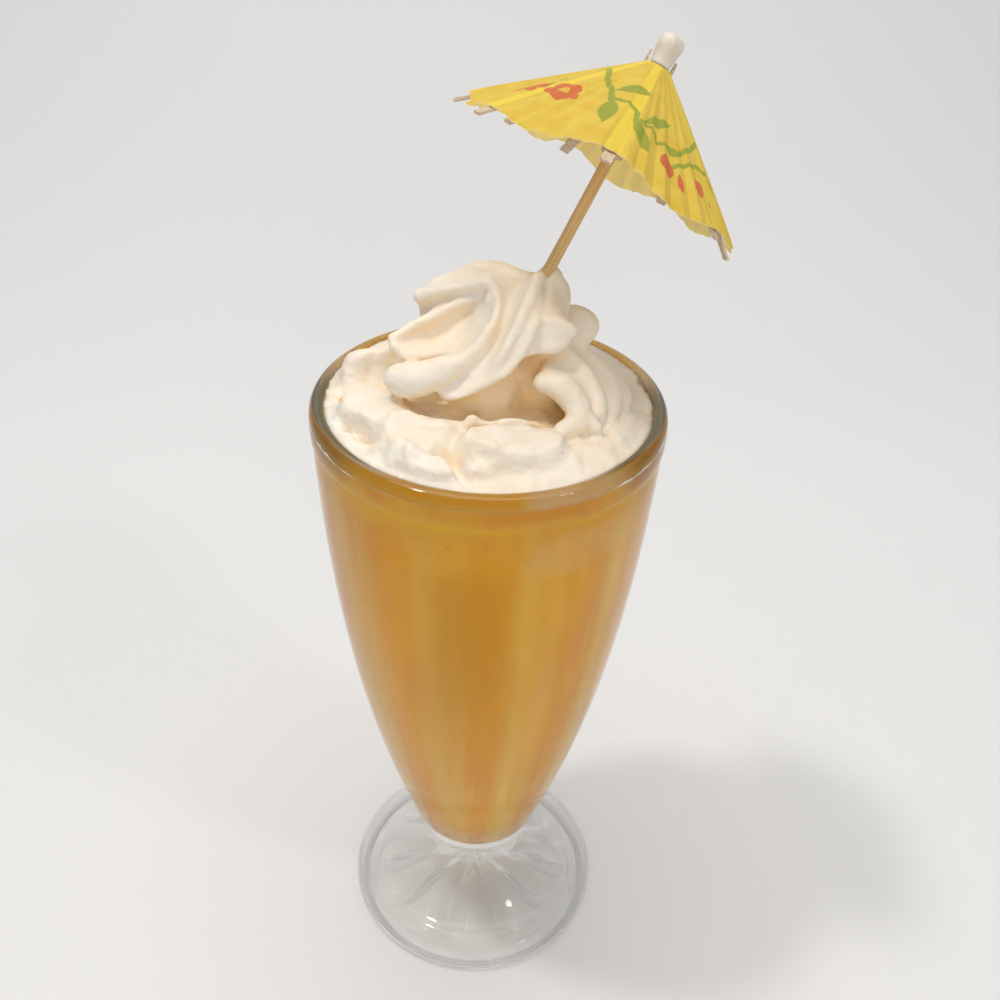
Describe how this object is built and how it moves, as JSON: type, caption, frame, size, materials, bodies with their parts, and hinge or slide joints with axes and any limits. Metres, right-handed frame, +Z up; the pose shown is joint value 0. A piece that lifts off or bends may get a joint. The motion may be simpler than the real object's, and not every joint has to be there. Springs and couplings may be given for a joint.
{
  "type": "mango milkshake",
  "caption": "Mango milkshake in a tall footed soda glass, topped with swirled whipped cream and a tilted paper cocktail umbrella.",
  "frame": {"origin": "middle of the whole model's outline seen from above, on the surface the glass stands on", "axes": "+Z up; -Y towards the viewer of the picture; +X to the viewer's right, the side the umbrella leans to"},
  "size_m": [0.0974, 0.0882, 0.2599],
  "materials": {
    "clear_glass": "clear, polished, moulded flutes inside",
    "mango_shake": "thick opaque drink, stands in as smooth plastic",
    "cream": "soft moist whipped cream, stands in as smooth plastic",
    "bamboo": "plain honey-coloured stick",
    "slat_wood": "raw pale split wood",
    "paper": "thin pleated tissue, printed vine and flowers",
    "cap_white": "off-white, dull"
  },
  "bodies": {
    "root": {"glass": "clear_glass", "milkshake": "mango_shake", "whipped_cream": "cream", "umbrella_stick": "bamboo", "umbrella_canopy": "paper", "umbrella_cap": "cap_white", "umbrella_hub": "slat_wood", "umbrella_runner": "slat_wood", "umbrella_rib_1": "slat_wood", "umbrella_rib_2": "slat_wood", "umbrella_rib_3": "slat_wood", "umbrella_rib_4": "slat_wood", "umbrella_rib_5": "slat_wood", "umbrella_rib_6": "slat_wood", "umbrella_rib_7": "slat_wood", "umbrella_rib_8": "slat_wood", "umbrella_strut_1": "slat_wood", "umbrella_strut_2": "slat_wood", "umbrella_strut_3": "slat_wood", "umbrella_strut_4": "slat_wood", "umbrella_strut_5": "slat_wood", "umbrella_strut_6": "slat_wood", "umbrella_strut_7": "slat_wood", "umbrella_strut_8": "slat_wood"}
  },
  "joints": []
}
